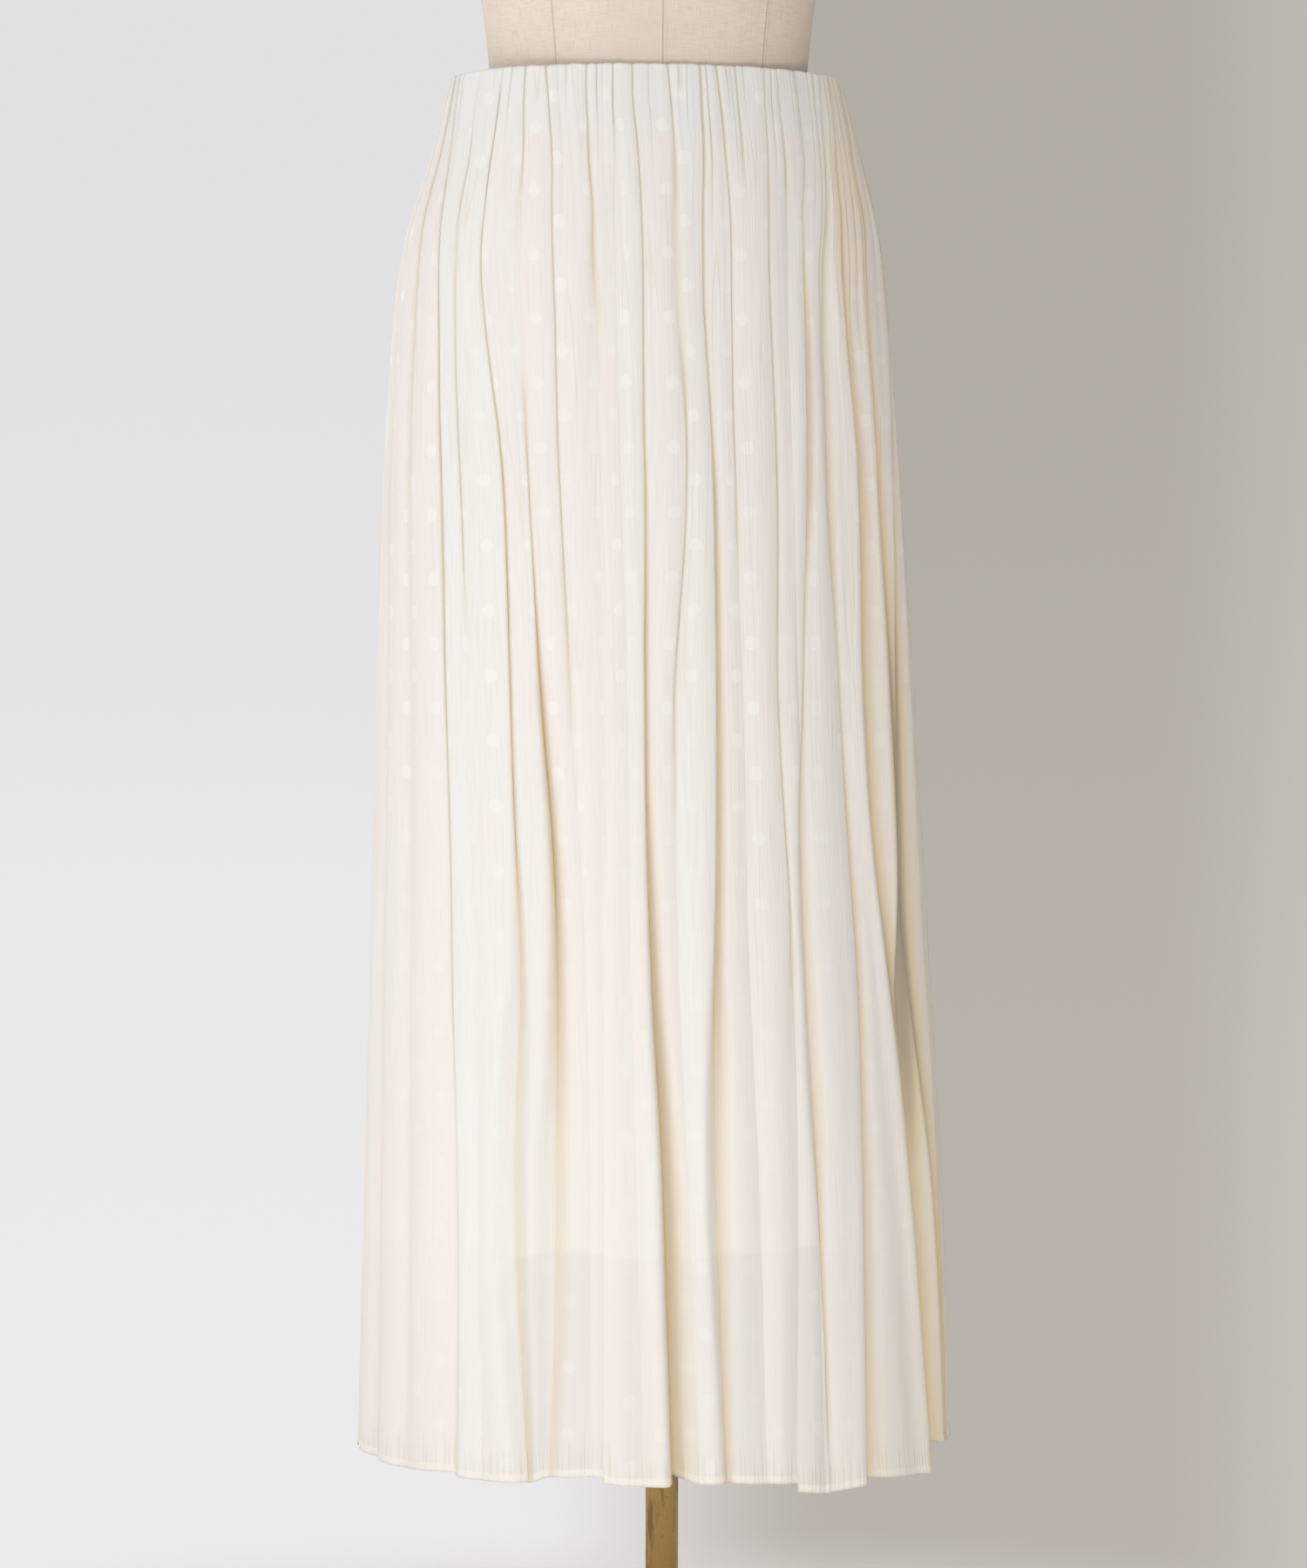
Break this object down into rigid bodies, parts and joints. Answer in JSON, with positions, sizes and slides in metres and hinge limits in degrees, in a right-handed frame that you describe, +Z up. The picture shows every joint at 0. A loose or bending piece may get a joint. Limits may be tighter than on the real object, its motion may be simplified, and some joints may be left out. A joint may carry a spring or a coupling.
{
  "type": "maxi skirt on a dress form",
  "caption": "Ankle-length gathered pull-on skirt of crinkled cloth with small satin dots and a lining, on a limbless linen dress form on a brass pole and a round base",
  "frame": {"origin": "middle of the base's underside, on the pole's axis", "axes": "+Z up along the pole, the front of the skirt faces -Y, +X is to the right of someone looking at the front"},
  "size_m": [0.3772, 0.34, 1.4853],
  "materials": {
    "skirt_cloth": "cream crinkled cloth with tone-on-tone satin dots, soft sheen",
    "lining_cloth": "plain smooth ivory lining",
    "form_linen": "natural linen, plain weave",
    "pole_brass": "aged brass with a soft patina",
    "base_metal": "bronze-coloured satin lacquer"
  },
  "bodies": {
    "root": {"skirt_front": "skirt_cloth", "skirt_back": "skirt_cloth", "waist_facing": "skirt_cloth", "lining_front": "lining_cloth", "lining_back": "lining_cloth", "form_torso": "form_linen", "form_neck_plate": "form_linen", "form_flange": "pole_brass", "form_pole": "pole_brass", "form_base": "base_metal"}
  },
  "joints": []
}
